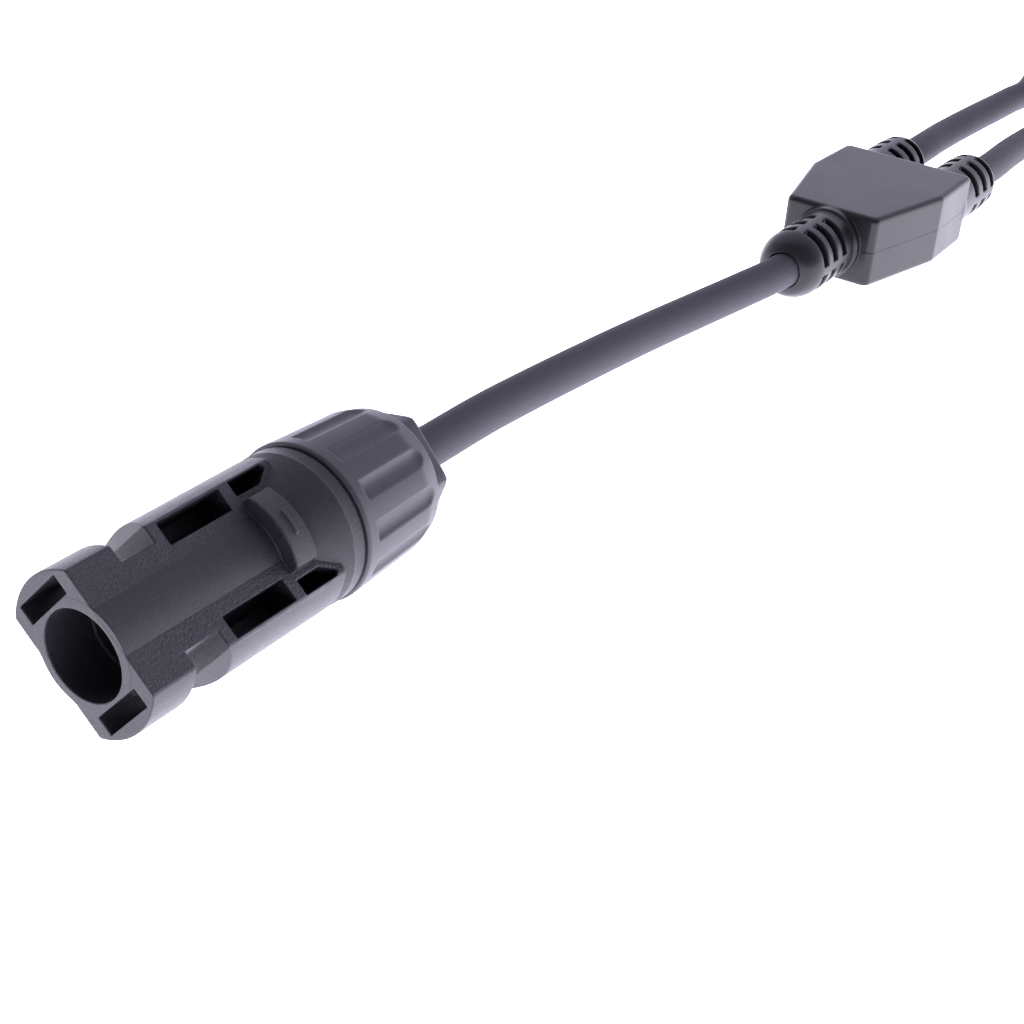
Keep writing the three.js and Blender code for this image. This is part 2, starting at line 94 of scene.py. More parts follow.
def socket_place(letter):
    """Matrix from a socket coupler's own millimetres, x counted from its shoulder, to the frame."""
    node = f"socket_{letter}_gland_nut"
    _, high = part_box(node)
    middle = middle_of(node)
    start = Vector((high.x + SOCKET_RIM * MM, middle.y, middle.z))
    return Matrix.Translation(start) @ Matrix.Rotation(math.pi, 4, "Z")


MOULDING_FRONT = (138.1, -4.7, 7.3)
MOULDING_YAW, MOULDING_ROLL = math.radians(0.5), math.radians(5)


def moulding_place():
    turn = Matrix.Rotation(MOULDING_YAW, 4, "Z") @ Matrix.Rotation(MOULDING_ROLL, 4, "X")
    return Matrix.Translation(Vector(MOULDING_FRONT) * MM) @ turn


# Cable centrelines, in millimetres, from the crimp of one end to the crimp of the other.
TRUNK_ROUTE = (
    (10.2, 0, 10), (23.5, 0, 10), (35.5, 0, 10), (45.5, -0.05, 9.95), (57.5, -0.4, 9.6), (68.5, -0.8, 9.15),
    (78.5, -1.15, 8.65), (89.2, -1.7, 8.1), (100.1, -2.6, 7.65), (111.2, -3.8, 7.38), (120.6, -4.85, 7.3),
    (133.5, -4.74, 7.3), (146.1, -4.63, 7.3),
)
BRANCH_ROUTES = {
    "a": (
        (164.1, 2.2, 7.88), (174.5, 2.29, 7.88), (184, 2.37, 7.88), (195.5, 3, 7.5), (206.5, 4.1, 6.75),
        (217.9, 4.85, 5.95), (229.5, 5.5, 5.1), (241.1, 6.1, 4.2), (251.3, 6.4, 3.6), (261.5, 6.4, 3.2),
        (273.5, 8.2, 4.7), (285.5, 11.1, 8.1), (296.5, 12.85, 9.85), (305.5, 13, 10), (315.5, 13, 10),
        (328.5, 13, 10),
    ),
    "b": (
        (164.3, -11.14, 6.72), (174.5, -11.05, 6.72), (184.2, -10.97, 6.72), (196.5, -10.4, 6),
        (209.5, -8.8, 4.9), (221.5, -7.6, 3.8), (235.5, -7.4, 3.1), (249.5, -8.9, 3.1), (261.5, -11.1, 3.6),
        (273.5, -13.5, 5.4), (285.5, -15.4, 8.4), (296.5, -15.97, 9.88), (305.5, -16, 10), (315.5, -16, 10),
        (328.5, -16, 10),
    ),
}


# ---- sizes and colours a user would change ----
def length(name, description, millimetres):
    return FloatProperty(
        name=name, description=description, default=millimetres * MM, min=0.0, unit="LENGTH", precision=5)


def tint(name, description, colour):
    return FloatVectorProperty(
        name=name, description=description, default=colour, size=3, min=0.0, max=1.0, subtype="COLOR")


def share(name, description, default):
    return FloatProperty(
        name=name, description=description, default=default, min=0.0, max=1.0, subtype="FACTOR")


class LeadCouplerSizes(bpy.types.PropertyGroup):
    """Sizes of the pin and socket couplers"""

    body_radius: length("Body Radius", "Round sides of the pin coupler's body", 9.65)
    flat_height: length("Flat Height", "Distance of the two flats from the axis", 5.9)
    tube_radius: length("Tube Radius", "Round tube that stands proud of the flats", 6.6)
    mouth_radius: length("Mouth Radius", "Bore at the mating face", 5.35)
    window_depth: length("Window Depth", "Depth of the cored windows below the flats", 5.4)
    nose_radius: length("Nose Radius", "Nose of a socket coupler", 4.75)


class LeadNutSizes(bpy.types.PropertyGroup):
    """Sizes of the gland nuts"""

    rim_radius: length("Rim Radius", "Outside of the nut at its front rim", 10.0)
    groove_width: length("Groove Width", "Width of each of the twelve grip grooves", 2.6)
    groove_depth: length("Groove Depth", "Depth of the grip grooves", 0.52)
    boss_radius: length("Boss Radius", "Hexagonal boss at the rear, over its corners", 8.6)


class LeadMouldingSizes(bpy.types.PropertyGroup):
    """Sizes of the Y moulding"""

    half_height: length("Half Height", "Half of the slab's thickness", 5.95)
    slab_edge: length("Slab Edge", "Width over which the slab's edges are rounded", 1.0)
    slot_width: length("Slot Width", "Width of the slots in the strain reliefs", 1.6)
    web_width: length("Web Width", "Webs that stand between the slots of a strain relief", 1.5)


class LeadCableSizes(bpy.types.PropertyGroup):
    """Sizes of the cables"""

    diameter: length("Diameter", "Outside of the single-core cable", 5.5)


class LeadFinishes(bpy.types.PropertyGroup):
    """Colours and finishes of the lead"""

    housing: tint("Housing", "Glass-filled plastic of the coupler bodies", (0.0135, 0.013, 0.018))
    nut: tint("Nut", "Plastic of the gland nuts", (0.038, 0.036, 0.044))
    moulding: tint("Moulding", "Over-moulded plastic of the Y piece", (0.0095, 0.009, 0.011))
    jacket: tint("Jacket", "Cable jacket", (0.054, 0.052, 0.062))
    rubber: tint("Rubber", "Seals and rings", (0.011, 0.011, 0.012))
    cage: tint("Collet", "Clamping collets", (0.52, 0.51, 0.48))
    tin: tint("Tin", "Tinned contacts and splice", (0.78, 0.77, 0.74))
    spring: tint("Spring", "Spring steel clips", (0.5, 0.5, 0.52))
    copper: tint("Copper", "Cable strands", (0.72, 0.42, 0.26))
    housing_roughness: share("Housing Roughness", "Sheen of the coupler bodies", 0.4)
    nut_roughness: share("Nut Roughness", "Sheen of the gland nuts", 0.44)
    moulding_roughness: share("Moulding Roughness", "Sheen of the Y moulding", 0.34)
    jacket_roughness: share("Jacket Roughness", "Sheen of the cable jackets", 0.68)


class LeadStage(bpy.types.PropertyGroup):
    """Camera and studio light"""

    camera_place: FloatVectorProperty(
        name="Camera", description="Camera position", default=(-0.14146, -0.12898, 0.11242), size=3,
        subtype="TRANSLATION")
    heading: FloatProperty(
        name="Heading", description="Direction the camera looks in, from +X", default=math.radians(33.65),
        subtype="ANGLE")
    tilt: FloatProperty(
        name="Tilt", description="How far the camera looks down", default=math.radians(27.18),
        subtype="ANGLE")
    lens: FloatProperty(name="Lens", description="Focal length in millimetres", default=67.92, unit="CAMERA")
    table_glow: FloatProperty(
        name="Table Glow", description="Brightness of the light table", default=3.5, min=0.0)
    sky_glow: FloatProperty(
        name="Sky Glow", description="Brightness of the tent overhead", default=0.3, min=0.0)
    table_tint: tint("Table Tint", "Colour of the light table", (0.88, 0.86, 1.0))
    sky_tint: tint("Sky Tint", "Colour of the tent overhead", (0.82, 0.8, 1.0))


SETTINGS = {
    "lead_couplers": LeadCouplerSizes, "lead_nuts": LeadNutSizes, "lead_moulding": LeadMouldingSizes,
    "lead_cables": LeadCableSizes, "lead_finishes": LeadFinishes, "lead_stage": LeadStage,
}


def in_millimetres(settings):
    """The lengths of a settings group, in millimetres."""
    names = [p.identifier for p in settings.bl_rna.properties if p.type == "FLOAT"]
    return SimpleNamespace(**{name: getattr(settings, name) / MM for name in names})


# ---- solid shapes as fields: negative inside, positive outside, millimetres ----
def smooth_max(first, second, width):
    blend = np.maximum(width - np.abs(first - second), 0.0) / width
    return np.maximum(first, second) + blend * blend * width / 4


def both(*fields, edge=0.3):
    """What all fields hold, with rounded edges."""
    result = fields[0]
    for field in fields[1:]:
        result = smooth_max(result, field, edge)
    return result


def either(*fields, edge=0.3):
    """What any field holds, with small fillets."""
    return -both(*[-field for field in fields], edge=edge)


def without(body, *tools, edge=0.3):
    """The body less the tools, with rounded edges."""
    return both(body, *[-tool for tool in tools], edge=edge)


def between(value, low, high):
    return np.abs(value - (low + high) / 2) - (high - low) / 2


def outline(u, v, points, edge=0.3):
    """A convex outline in u and v, from points in order with the inside on their right."""
    sides = []
    for (u0, v0), (u1, v1) in zip(points, points[1:]):
        size = math.hypot(u1 - u0, v1 - v0)
        sides.append(((u - u0) * (v0 - v1) + (v - v0) * (u1 - u0)) / size)
    return both(*sides, edge=edge)


def stepped_bore(x, rho, steps, edge=0.2):
    """Round holes in line, each as (start, end, radius)."""
    holes = [both(between(x, start, end), rho - radius, edge=0.05) for start, end, radius in steps]
    return either(*holes, edge=edge)


# ---- from a field to a fine mesh ----
def field_gradient(shape, points, reach):
    columns = []
    for axis in range(3):
        ahead, behind = points.copy(), points.copy()
        ahead[:, axis] += reach
        behind[:, axis] -= reach
        columns.append((shape(*ahead.T) - shape(*behind.T)) / (2 * reach))
    return np.stack(columns, 1)


def settle(shape, points, step, rounds=3):
    """Moves points onto the surface of the shape."""
    for _ in range(rounds):
        slope = field_gradient(shape, points, 0.02)
        miss = np.clip(shape(*points.T), -step / 2, step / 2)
        points -= slope * (miss / np.maximum((slope ** 2).sum(1), 0.2))[:, None]
    return points


def net_of(shape, low, high, step):
    """Surface net of the field: one point in each grid cell that the surface crosses, joined in quads."""
    axes = [np.arange(a - 1.5 * step, b + 2.5 * step, step) for a, b in zip(low, high)]
    grid = np.meshgrid(*axes, indexing="ij", sparse=True)
    counts = [len(a) for a in axes]
    field = np.broadcast_to(shape(*grid), counts)
    quads, cells, crossings = [], [], []
    for axis in range(3):
        ahead = np.take(field, range(1, counts[axis]), axis)
        behind = np.take(field, range(counts[axis] - 1), axis)
        spot = np.nonzero((ahead < 0) != (behind < 0))
        start, end = behind[spot], ahead[spot]
        point = np.stack([axes[k][spot[k]] for k in range(3)], 1)
        point[:, axis] += step * start / (start - end)
        across = ((axis + 1) % 3, (axis + 2) % 3)
        ring = []
        for shift in ((0, 0), (1, 0), (1, 1), (0, 1)):
            cell = [index.copy() for index in spot]
            cell[across[0]] -= shift[0]
            cell[across[1]] -= shift[1]
            ring.append((cell[0] * counts[1] + cell[1]) * counts[2] + cell[2])
            cells.append(ring[-1])
            crossings.append(point)
        ring = np.stack(ring, 1)
        quads.append(np.where((start < 0)[:, None], ring, ring[:, ::-1]))
    names, place = np.unique(np.concatenate(cells), return_inverse=True)
    crossings = np.concatenate(crossings)
    weight = np.bincount(place)
    points = np.stack([np.bincount(place, crossings[:, k]) / weight for k in range(3)], 1)
    return points, np.searchsorted(names, np.concatenate(quads))


def thinned(mesh, keep):
    """The mesh with its flat stretches collapsed, keeping that share of its faces."""
    worker = bpy.data.objects.new("worker", mesh)
    bpy.context.scene.collection.objects.link(worker)
    decimate = worker.modifiers.new("thin", "DECIMATE")
    decimate.ratio = keep
    seen = worker.evaluated_get(bpy.context.evaluated_depsgraph_get())
    result = bpy.data.meshes.new_from_object(seen)
    bpy.data.objects.remove(worker)
    return result


def points_of(mesh):
    values = np.empty(len(mesh.vertices) * 3)
    mesh.vertices.foreach_get("co", values)
    return values.reshape(-1, 3)


def store(mesh, name, values):
    mesh.attributes.new(name, "FLOAT", "POINT").data.foreach_set("value", values.astype(np.float32))


def mesh_of(name, shape, low, high, step, keep=0.35, grain=None):
    """A fine mesh of the shape with true normals, and how sharp and how deep each spot is, as masks for a
    painted edge highlight and painted shade in recesses.
    """
    points, quads = net_of(shape, low, high, step)
    rough = bpy.data.meshes.new("rough")
    rough.from_pydata(settle(shape, points, step), [], quads.tolist())
    mesh = thinned(rough, keep)
    mesh.name = name
    points = settle(shape, points_of(mesh), step)
    normals = field_gradient(shape, points, 0.03)
    normals /= np.linalg.norm(normals, axis=1)[:, None]
    reach = 0.45
    # edge: how near a sharp edge the spot is; the plastic uses it to paint a highlight on edges
    store(mesh, "edge", np.clip(1 + shape(*(points - reach * normals).T) / reach, 0, 1))
    # how deep in a recess the spot is: the mask for painted shade
    store(mesh, "painted_recess_shade", np.clip(1 - shape(*(points + 2 * reach * normals).T) / (2 * reach), 0, 1))
    if grain:
        store(mesh, "grain", grain(points, normals))
    mesh.vertices.foreach_set("co", (points * MM).ravel())
    mesh.update()
    mesh.polygons.foreach_set("use_smooth", [True] * len(mesh.polygons))
    mesh.normals_split_custom_set_from_vertices(normals)
    return mesh


def place_piece(name, mesh, matrix, body, material, replaces):
    """Puts a piece in the frame: what it rides on, its finish, and the nodes it stands for."""
    placed = mesh.copy()
    placed.transform(matrix)
    placed.materials.append(material)
    piece = bpy.data.objects.new(name, placed)
    bpy.context.scene.collection.objects.link(piece)
    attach(piece, body)
    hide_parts(*replaces)
    return piece


# ---- shader maths ----
class Wire:
    """A value in a shader tree. Arithmetic on it adds Math nodes."""

    def __init__(self, shader, socket):
        self.shader, self.socket = shader, socket

    def __add__(self, other):
        return self.shader.maths("ADD", self, other)

    def __sub__(self, other):
        return self.shader.maths("SUBTRACT", self, other)

    def __rsub__(self, other):
        return self.shader.maths("SUBTRACT", other, self)

    def __mul__(self, other):
        return self.shader.maths("MULTIPLY", self, other)

    __radd__, __rmul__ = __add__, __mul__


class Shader:
    """A material under construction."""

    def __init__(self, tree_owner):
        tree_owner.use_nodes = True
        self.tree = tree_owner.node_tree
        self.tree.nodes.clear()

    def node(self, kind, settings=None, inputs=None, output=0, stops=()):
        """Adds a node: its settings first, then the values or links of its sockets. Returns one output."""
        made = self.tree.nodes.new(kind)
        for name, value in (settings or {}).items():
            setattr(made, name, value)
        for element, (position, value) in zip(made.color_ramp.elements if stops else (), stops):
            element.position, element.color = position, (value, value, value, 1)
        for name, value in (inputs or {}).items():
            if isinstance(value, Wire):
                self.tree.links.new(value.socket, made.inputs[name])
            else:
                made.inputs[name].default_value = value
        return Wire(self, made.outputs[output])

    def maths(self, operation, *values):
        return self.node("ShaderNodeMath", {"operation": operation}, dict(enumerate(values)))

    def noise(self, place, scale, detail=2.0, stretch=None):
        if stretch:
            place = self.node("ShaderNodeMapping", {}, {"Vector": place, "Scale": stretch})
        settings = {"noise_dimensions": "3D"}
        inputs = {"Vector": place, "Scale": scale, "Detail": detail}
        return self.node("ShaderNodeTexNoise", settings, inputs)

    def smooth_step(self, value, low, high):
        settings = {"interpolation_type": "SMOOTHSTEP"}
        return self.node("ShaderNodeMapRange", settings, {"Value": value, "From Min": low, "From Max": high})

    def attribute(self, name):
        return self.node("ShaderNodeAttribute", {"attribute_name": name}, output="Fac")

    def mix(self, factor, first, second):
        inputs = {"Factor": factor, 6: (*first, 1) if isinstance(first, tuple) else first, 7: (*second, 1)}
        return self.node("ShaderNodeMix", {"data_type": "RGBA"}, inputs, output=2)

    def finish(self, colour, roughness, bump=None, metallic=0.0, ior=1.5):
        inputs = {"Base Color": colour, "Roughness": roughness, "Metallic": metallic, "IOR": ior}
        if bump:
            inputs["Normal"] = bump
        surface = self.node("ShaderNodeBsdfPrincipled", {}, inputs, output="BSDF")
        self.node_output(surface)

    def node_output(self, surface, kind="ShaderNodeOutputMaterial"):
        out = self.tree.nodes.new(kind)
        self.tree.links.new(surface.socket, out.inputs["Surface"])

    def bump(self, height, depth):
        """A bump that is depth metres high where the height is 1."""
        inputs = {"Height": height, "Distance": depth, "Strength": 1.0}
        return self.node("ShaderNodeBump", {}, inputs, output="Normal")


def shade(colour, amount):
    return tuple(channel * amount for channel in colour)


def moulded_plastic(name, colour, roughness, grain_size, grain_depth, flow=0.15, ior=1.5):
    """Dark moulded plastic: spark-eroded grain, faint flow marks, edges painted lighter as a highlight,
    recesses painted darker as shade.
    """
    material = bpy.data.materials.new(name)
    s = Shader(material)
    place = s.node("ShaderNodeTexCoord", output="Object")
    grain = s.noise(place, 1 / grain_size, 3.0)
    fine = s.noise(place, 4 / grain_size, 1.0)
    flow_marks = s.noise(place, 160, 3.0, (1.0, 0.45, 0.45))
    on_flat = s.attribute("grain")
    # painted highlight mask: near sharp edges, broken up by fine noise
    painted_edge_highlight = s.smooth_step(s.attribute("edge"), 0.25, 0.75) * s.smooth_step(s.noise(place, 900), 0.38, 0.62)
    height = grain * (on_flat * 0.75 + 0.25) + fine * 0.2
    speckle = s.smooth_step(grain, 0.42, 0.6) * on_flat
    tone = s.mix(flow_marks * flow, tuple(colour), shade(colour, 1.7))
    tone = s.mix(speckle * 0.6, tone, shade(colour, 2.6))
    # painted highlight: edges lighter
    tone = s.mix(painted_edge_highlight * 0.4, tone, shade(colour, 3.2))
    # painted shade: recesses darker
    tone = s.mix(s.attribute("painted_recess_shade") * 0.45, tone, shade(colour, 0.5))
    sheen = flow_marks * 0.12 + on_flat * 0.07 + (roughness - 0.06) - painted_edge_highlight * 0.06
    s.finish(tone, sheen, s.bump(height, grain_depth), ior=ior)
    return material


def jacket_plastic(name, colour, roughness):
    """Extruded cable jacket: matt, with fine lines along its length and soft smudges."""
    material = bpy.data.materials.new(name)
    s = Shader(material)
    place = s.node("ShaderNodeTexCoord", output="Object")
    lines = s.noise(place, 1, 2.0, (90, 2600, 2600))
    smudge = s.noise(place, 110, 3.0)
    pores = s.noise(place, 5200, 1.0)
    tone = s.mix(smudge * 0.35, tuple(colour), shade(colour, 1.8))
    tone = s.mix(lines * 0.2, tone, shade(colour, 0.55))
    sheen = smudge * 0.14 + lines * 0.08 + (roughness - 0.1)
    s.finish(tone, sheen, s.bump(lines * 0.7 + pores * 0.3, 0.000012), ior=1.4)
    return material


def rubber_finish(name, colour):
    material = bpy.data.materials.new(name)
    s = Shader(material)
    place = s.node("ShaderNodeTexCoord", output="Object")
    bloom = s.noise(place, 700, 3.0)
    tone = s.mix(s.smooth_step(bloom, 0.45, 0.75) * 0.5, tuple(colour), shade(colour, 3))
    s.finish(tone, bloom * 0.2 + 0.55, s.bump(s.noise(place, 4000), 0.00001))
    return material


def metal_finish(name, colour, roughness, stretch):
    """Drawn or turned metal with fine marks and faint staining."""
    material = bpy.data.materials.new(name)
    s = Shader(material)
    place = s.node("ShaderNodeTexCoord", output="Object")
    marks = s.noise(place, 1, 2.0, stretch)
    stain = s.noise(place, 420, 4.0)
    tone = s.mix(s.smooth_step(stain, 0.45, 0.7) * 0.4, tuple(colour), shade(colour, 0.6))
    s.finish(tone, marks * 0.15 + stain * 0.1 + (roughness - 0.1), s.bump(marks, 0.000006), metallic=1.0)
    return material


def stranded_copper(name, colour):
    """Fine tinned copper strands laid in a slow twist."""
    material = bpy.data.materials.new(name)
    s = Shader(material)
    place = s.node("ShaderNodeTexCoord", output="Object")
    strands = s.node(
        "ShaderNodeTexWave", {"bands_direction": "DIAGONAL", "wave_profile": "SIN"},
        {"Vector": place, "Scale": 900.0, "Distortion": 0.4}, output="Fac")
    tone = s.mix(strands * 0.6, shade(colour, 0.5), tuple(colour))
    s.finish(tone, strands * -0.15 + 0.45, s.bump(strands, 0.00006), metallic=1.0)
    return material


def finishes():
    """All materials of the lead, made once."""
    made = bpy.data.materials.get("housing_plastic")
    look = bpy.context.scene.lead_finishes
    if not made:
        moulded_plastic("housing_plastic", look.housing, look.housing_roughness, 0.00026, 0.00022)
        moulded_plastic("nut_plastic", look.nut, look.nut_roughness, 0.00016, 0.00002, 0.25)
        moulded_plastic(
            "moulding_plastic", look.moulding, look.moulding_roughness, 0.0003, 0.000008, 0.5, 1.42)
        jacket_plastic("cable_jacket", look.jacket, look.jacket_roughness)
        rubber_finish("seal_rubber", look.rubber)
        moulded_plastic("collet_plastic", look.cage, 0.45, 0.0002, 0.000006)
        metal_finish("tinned_copper", look.tin, 0.26, (9000, 500, 500))
        metal_finish("spring_steel", look.spring, 0.3, (600, 6000, 600))
        stranded_copper("copper_strands", look.copper)
    return bpy.data.materials


# ---- gland end, shared by the three couplers; x counted from the rim of the nut ----
COLLAR = {"start": -2.1, "end": -0.3, "radius": 9.62}
THREAD = {"start": 0.6, "end": 10.0, "pitch": 1.5, "crest": 7.8, "root": 7.35, "neck_end": 10.7}


def housing_rear(u, y, z, rho, cone_foot):
    """Cone, collar and threaded neck of a housing."""
    cone = outline(u, rho, [
        (cone_foot[0], 0), cone_foot, (COLLAR["start"] - 0.1, 9.72),
        (COLLAR["start"], 9.66), (COLLAR["start"], 0),
    ], edge=0.15)
    collar = both(between(u, COLLAR["start"] - 0.3, COLLAR["end"]), rho - COLLAR["radius"], edge=0.2)
    neck = both(between(u, COLLAR["end"] - 1, THREAD["neck_end"]), rho - THREAD["root"], edge=0.3)
    turn = u / THREAD["pitch"] - np.arctan2(z, y) / (2 * math.pi)
    height = 2 * np.abs(turn - np.floor(turn) - 0.5)
    radius = THREAD["root"] + (THREAD["crest"] - THREAD["root"]) * np.clip(2.2 * height - 0.6, 0, 1)
    thread = both(between(u, THREAD["start"], THREAD["end"]), (rho - radius) * 0.8, edge=0.2)
    return either(cone, collar, neck, thread, edge=0.12)


def rear_bore(u, rho, chamber_start):
    return stepped_bore(u, rho, [(chamber_start, -1.2, 3.6), (-1.8, THREAD["neck_end"] + 1, 5.2)])


NUT_BORE = ((-1, 0), (-1, 8.25), (11.4, 8.25), (11.4, 6.6), (14.4, 3.4), (14.4, 0))
GROOVE = {"start": 1.9, "end": 13.3, "first": math.radians(8), "pitch": math.radians(30)}
BEVEL = {"start": 12.3, "start_radius": 9.46, "end": 15.0, "end_radius": 8.75}


def gland_nut_shape():
    size = in_millimetres(bpy.context.scene.lead_nuts)

    def shape(x, y, z):
        rho = np.hypot(y, z)
        angle = np.arctan2(z, y)
        taper = (size.rim_radius - BEVEL["start_radius"]) / BEVEL["start"]
        outside = outline(x, rho, [
            (0, 0), (0, size.rim_radius - 0.2), (0.25, size.rim_radius),
            (BEVEL["start"], BEVEL["start_radius"]),
            (BEVEL["end"], BEVEL["end_radius"]), (BEVEL["end"] + 0.3, 8.2), (BEVEL["end"] + 0.3, 0),
        ], edge=0.12)
        corner = size.boss_radius * math.cos(math.pi / 6)
        sixth = np.remainder(angle - GROOVE["first"], math.pi / 3) - math.pi / 6
        flats = both(rho * np.cos(sixth) - corner, rho - size.boss_radius + 0.1, edge=0.5)
        boss = both(between(x, 12, NUT_LENGTH), flats, edge=0.6)
        half_pitch = GROOVE["pitch"] / 2
        middle = np.remainder(angle - GROOVE["first"] + half_pitch, GROOVE["pitch"]) - half_pitch
        aside, up = rho * np.sin(middle), rho * np.cos(middle)
        half, depth = size.groove_width / 2, size.groove_depth
        flute = (half ** 2 + depth ** 2) / (2 * depth)
        past = np.maximum(x - GROOVE["end"] + half, 0)
        centre = size.rim_radius - taper * x - depth + flute
        trough = np.sqrt(aside ** 2 + (up - centre) ** 2 + 0.35 * past ** 2) - flute
        groove = both(trough, GROOVE["start"] - x, edge=0.1)
        inside = outline(x, rho, NUT_BORE, edge=0.2)
        hole = both(between(x, 10, NUT_LENGTH + 1), rho - 3.25)
        return without(either(outside, boss, edge=0.2), groove, inside, hole, edge=0.16)

    return shape


def make_gland_nuts():
    mesh = mesh_of("gland_nut", gland_nut_shape(), (0, -10, -10), (NUT_LENGTH, 10, 10), 0.2, 0.5)
    material = finishes()["nut_plastic"]
    rims = {"pin": pin_place() @ Matrix.Translation((PIN_RIM * MM, 0, 0))}
    for letter in SOCKET_LETTERS:
        rims[f"socket_{letter}"] = socket_place(letter) @ Matrix.Translation((SOCKET_RIM * MM, 0, 0))
    for owner, matrix in rims.items():
        place_piece(
            f"{owner}_nut_ribbed", mesh, matrix, f"{owner}_nut", material, [f"{owner}_gland_nut"])


# ---- pin coupler; x counted from the mating face, flats up and down, latch slots at the sides ----
SLOT = {"inner": 5.85, "outer": 8.1, "half": 3.9}
NOTCH = {"start": 6.35, "end": 11.2, "inner": 5.65, "lip": 7.8, "rake": 0.8, "draft": 0.02}
LONG_WINDOW = {"start": 12.9, "end": 22.5, "inner": 4.6, "outer": 7.35}
SHORT_WINDOW = ((24.2, 3), (24.2, 7.5), (29.5, 7.5), (29.9, 6.9), (24.2, 3))
RAMP = {"top": 5.3, "slope": 0.65, "length": 2.1}   # finely ribbed ramp at the front of the long window
ARCH = {"start": 24.1, "end": 27.6, "radius": 8.65, "half": 4.7}
BODY_END = 31.0
BORE_WALL = 5.6


def pin_housing_shape():
    size = in_millimetres(bpy.context.scene.lead_couplers)

    def shape(x, y, z):
        rho, side, height = np.hypot(y, z), np.abs(y), np.abs(z)
        body = both(between(x, 0, BODY_END), rho - size.body_radius, height - size.flat_height, edge=0.2)
        tube = both(between(x, 0, BODY_END), rho - size.tube_radius, edge=0.15)
        arch = both(
            between(x, ARCH["start"], ARCH["end"]), rho - ARCH["radius"], side - ARCH["half"], edge=0.25)
        dash = both(between(x, 25.65, 26.0), side - 1.5, rho - ARCH["radius"] - 0.22, -z, edge=0.1)
        rear = housing_rear(x - PIN_RIM, y, z, rho, (26.5 - PIN_RIM, 6.9))
        solid = either(either(body, tube, edge=0.12), arch, rear, edge=0.15)
        solid = either(solid, dash, edge=0.1)

        bore = stepped_bore(x, rho, [
            (-1, 6.5, size.mouth_radius), (5, 20, size.mouth_radius - 0.3), (18, 23, 2.6),
        ], edge=0.08)
        slot = both(between(x, -1, NOTCH["end"] - 1), between(side, SLOT["inner"], SLOT["outer"]),
                    height - SLOT["half"], edge=0.1)
        end = NOTCH["end"] + NOTCH["rake"] * np.maximum(side - NOTCH["lip"], 0) + NOTCH["draft"] * height
        notch = both(NOTCH["start"] - x, (x - end) * 0.85, NOTCH["inner"] - side, edge=0.08)
        floor = size.flat_height - size.window_depth
        ribs = 0.12 * np.abs(np.remainder(side / 0.36, 1) - 0.5)
        ramp = RAMP["top"] - RAMP["slope"] * (x - LONG_WINDOW["start"]) - ribs
        ramp = np.minimum(ramp, (LONG_WINDOW["start"] + RAMP["length"] - x) * 2)
        window = both(between(x, LONG_WINDOW["start"], LONG_WINDOW["end"]),
                      between(side, LONG_WINDOW["inner"], LONG_WINDOW["outer"]),
                      np.maximum(floor, ramp) - height, BORE_WALL - rho, edge=0.1)
        corner = both(outline(x, side, SHORT_WINDOW, edge=0.15), 5.6 - side, floor - height, edge=0.1)
        return without(
            solid, bore, rear_bore(x - PIN_RIM, rho, 22.3 - PIN_RIM), slot, notch, window, corner, edge=0.14)

    return shape


def flats_grain(flat_height):
    """Coarse grain on the two flats, fine grain elsewhere."""
    def grain(points, normals):
        level = np.abs(points[:, 2]) - flat_height
        return np.clip(1 - np.abs(level) / 0.2, 0, 1) * (np.abs(normals[:, 2]) > 0.96)
    return grain


def make_pin_housing():
    size = in_millimetres(bpy.context.scene.lead_couplers)
    end = PIN_RIM + THREAD["neck_end"]
    mesh = mesh_of(
        "pin_housing_moulded", pin_housing_shape(), (0, -9.9, -9.9), (end, 9.9, 9.9), 0.16, 0.4,
        flats_grain(size.flat_height))
    place_piece(
        "pin_housing_moulded", mesh, pin_place(), "root", finishes()["housing_plastic"],
        ["pin_housing"])


# ---- socket couplers; x counted from the mating shoulder, the nose towards -x ----
NOSE = {"length": 19.5, "bore": 3.05, "ring_at": -4.0, "groove_floor": 4.05}
SOCKET_BODY = {"radius": 9.5, "flat": 6.4, "tube": 6.95, "end": 15.0}
CHANNEL = {"inner": 5.7, "half": 4.2, "end": 9.4}
ARM = {"inner": 6.3, "outer": 7.8, "half": 3.5, "tip": -10.9, "root": 8.8}
BARB = {"outer": 9.2, "start": -10.3, "top": -8.4, "end": -6.7}


def socket_housing_shape():
    size = in_millimetres(bpy.context.scene.lead_couplers)

    def shape(x, y, z):
        rho, side, height = np.hypot(y, z), np.abs(y), np.abs(z)
        body = both(between(x, 0, SOCKET_BODY["end"]), rho - SOCKET_BODY["radius"],
                    height - SOCKET_BODY["flat"],
                    edge=0.4)
        tube = both(between(x, 0, SOCKET_BODY["end"]), rho - SOCKET_BODY["tube"], edge=0.3)
        nose = outline(x, rho, [
            (-NOSE["length"], 0), (-NOSE["length"], size.nose_radius - 0.7),
            (-NOSE["length"] + 0.9, size.nose_radius),
            (1, size.nose_radius), (1, 0),
        ], edge=0.25)
        ring_seat = both(between(x, NOSE["ring_at"] - 0.8, NOSE["ring_at"] + 0.8), NOSE["groove_floor"] - rho,
                         edge=0.15)
        rear = housing_rear(x - SOCKET_RIM, y, z, rho, (13 - SOCKET_RIM, 7.1))
        solid = either(either(body, tube, edge=0.4), without(nose, ring_seat), rear, edge=0.3)
        bore = stepped_bore(x, rho, [(-NOSE["length"] - 1, 8, NOSE["bore"])])
        channel = both(
            between(x, -1, CHANNEL["end"]), CHANNEL["inner"] - side, height - CHANNEL["half"], edge=0.2)
        return without(solid, bore, rear_bore(x - SOCKET_RIM, rho, 7.5 - SOCKET_RIM), channel, edge=0.25)

    return shape


